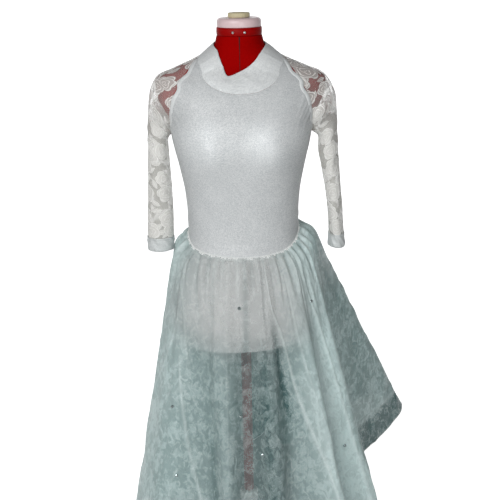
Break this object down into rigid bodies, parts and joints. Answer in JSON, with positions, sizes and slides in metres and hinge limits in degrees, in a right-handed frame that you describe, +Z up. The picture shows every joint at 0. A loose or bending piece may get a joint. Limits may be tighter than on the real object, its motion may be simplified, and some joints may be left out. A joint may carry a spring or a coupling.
{
  "type": "skirted leotard on dress form",
  "caption": "Shimmer stretch leotard with lace raglan sleeves and a flared sheer organza skirt, worn on a limbless dress form with a pole stand",
  "frame": {"origin": "middle of the part's box, on the floor that the feet stand on", "axes": "+Z is up, the garment's front faces -Y, +X is to the viewer's right"},
  "size_m": [0.7234, 0.5684, 1.45],
  "materials": {
    "shimmer_stretch": "white stretch knit with a fine silver glitter",
    "rose_lace": "off-white rose lace on a fine stretch net",
    "cuff_stretch": "silvery white stretch knit",
    "organza": "sheer crisp organza, soft shine",
    "red_form": "smooth red jersey cover",
    "pink_cap": "pale pink moulded cap",
    "cream_dial": "cream moulded dial",
    "dark_pole": "dark maroon enamel",
    "white_stand": "white enamel"
  },
  "bodies": {
    "root": {"bodice_front": "shimmer_stretch", "bodice_back": "shimmer_stretch", "neckband": "shimmer_stretch", "lower_front": "shimmer_stretch", "lower_back": "shimmer_stretch", "sleeve_left_of_view": "rose_lace", "sleeve_right_of_view": "rose_lace", "cuff_left_of_view": "cuff_stretch", "cuff_right_of_view": "cuff_stretch", "skirt_front": "organza", "skirt_side_left_of_view": "organza", "skirt_side_right_of_view": "organza", "skirt_back_left_of_view": "organza", "skirt_back_right_of_view": "organza", "form_torso": "red_form", "form_neck_ring": "red_form", "form_cap": "pink_cap", "form_dial": "cream_dial", "stand_pole": "dark_pole", "stand_hub": "white_stand", "stand_leg_1": "white_stand", "stand_leg_2": "white_stand", "stand_leg_3": "white_stand", "stand_leg_4": "white_stand", "stand_leg_5": "white_stand", "stand_foot_1": "white_stand", "stand_foot_2": "white_stand", "stand_foot_3": "white_stand", "stand_foot_4": "white_stand", "stand_foot_5": "white_stand"}
  },
  "joints": []
}
